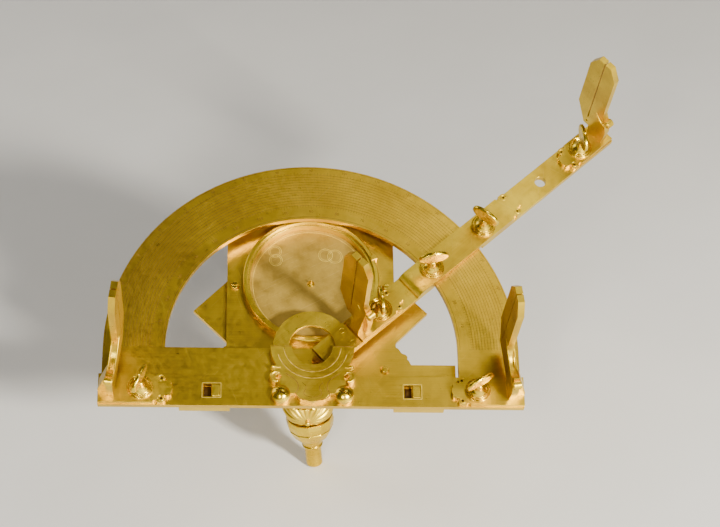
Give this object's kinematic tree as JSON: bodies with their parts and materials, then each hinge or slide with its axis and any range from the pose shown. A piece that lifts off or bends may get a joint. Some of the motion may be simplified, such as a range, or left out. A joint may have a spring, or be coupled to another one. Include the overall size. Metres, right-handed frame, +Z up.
{
  "type": "graphometer",
  "caption": "Half-circle surveying graphometer in gilt brass: divided limb with fixed slit sights, turning alidade, sunk compass box and a ball joint on a staff shank.",
  "frame": {"origin": "shoulder of the shank, on the stem's axis", "axes": "+Z up along the stem, +X along the instrument's diameter to its right, +Y away from the user"},
  "size_m": [0.3064, 0.1974, 0.2258],
  "materials": {
    "plate_gilt": "brushed",
    "turned_gilt": "polished",
    "copper_floor": "matte"
  },
  "bodies": {
    "staff": {"staff_shank": "turned_gilt"},
    "nut": {"collar_nut": "turned_gilt"},
    "socket": {"front_shell": "turned_gilt", "rear_shell": "turned_gilt"},
    "table": {"ball_stud": "turned_gilt", "under_plate": "plate_gilt", "carrier_plate": "plate_gilt", "carrier_screws": "turned_gilt", "rear_pillars": "turned_gilt", "left_latch_pad": "plate_gilt", "right_latch_pad": "plate_gilt", "compass_ring": "plate_gilt", "compass_floor": "copper_floor", "compass_pivot": "turned_gilt", "compass_clip": "plate_gilt", "limb_plate": "plate_gilt", "centre_keeper": "plate_gilt", "keeper_screws": "turned_gilt", "left_foot": "plate_gilt", "left_vane": "plate_gilt", "right_foot": "plate_gilt", "right_vane": "plate_gilt"},
    "alidade": {"alidade_ring": "plate_gilt", "inner_arm": "plate_gilt", "bridge": "plate_gilt", "outer_arm": "plate_gilt", "arm_rivets": "turned_gilt", "inner_foot": "plate_gilt", "inner_vane": "plate_gilt", "outer_foot": "plate_gilt", "outer_vane": "plate_gilt"},
    "left_screw": {"left_wing_screw": "turned_gilt"},
    "right_screw": {"right_wing_screw": "turned_gilt"},
    "inner_screw": {"inner_wing_screw": "turned_gilt"},
    "clamp_screw": {"clamp_wing_screw": "turned_gilt"},
    "splice_screw": {"splice_wing_screw": "turned_gilt"},
    "outer_screw": {"outer_wing_screw": "turned_gilt"}
  },
  "joints": [
    {"name": "nut_turn", "type": "hinge", "parent": "staff", "child": "nut", "pos_m": [0, 0, 0.015], "axis": [0, 0, 1], "continuous": true},
    {"name": "swivel", "type": "hinge", "parent": "staff", "child": "socket", "pos_m": [0, 0, 0.033], "axis": [0, 0, 1], "continuous": true},
    {"name": "tilt", "type": "hinge", "parent": "socket", "child": "table", "pos_m": [0, 0, 0.033], "axis": [1, 0, 0], "range_deg": [-72, 8]},
    {"name": "alidade_turn", "type": "hinge", "parent": "table", "child": "alidade", "pos_m": [0.00807, -0.0228, 0.08648], "axis": [0.1392, -0.5248, 0.8398], "range_deg": [-41.5, 138.5]},
    {"name": "left_screw_turn", "type": "hinge", "parent": "table", "child": "left_screw", "pos_m": [-0.08832, -0.05402, 0.08604], "axis": [0.1392, -0.5248, 0.8398], "continuous": true},
    {"name": "right_screw_turn", "type": "hinge", "parent": "table", "child": "right_screw", "pos_m": [0.10221, -0.03983, 0.06334], "axis": [0.1392, -0.5248, 0.8398], "continuous": true},
    {"name": "inner_screw_turn", "type": "hinge", "parent": "alidade", "child": "inner_screw", "pos_m": [0.04756, -0.00136, 0.09667], "axis": [0.1392, -0.5248, 0.8398], "continuous": true},
    {"name": "clamp_screw_turn", "type": "hinge", "parent": "alidade", "child": "clamp_screw", "pos_m": [0.07865, 0.02412, 0.10815], "axis": [0.1392, -0.5248, 0.8398], "continuous": true},
    {"name": "splice_screw_turn", "type": "hinge", "parent": "alidade", "child": "splice_screw", "pos_m": [0.11017, 0.05035, 0.11932], "axis": [0.1392, -0.5248, 0.8398], "continuous": true},
    {"name": "outer_screw_turn", "type": "hinge", "parent": "alidade", "child": "outer_screw", "pos_m": [0.17194, 0.10214, 0.14073], "axis": [0.1392, -0.5248, 0.8398], "continuous": true}
  ]
}
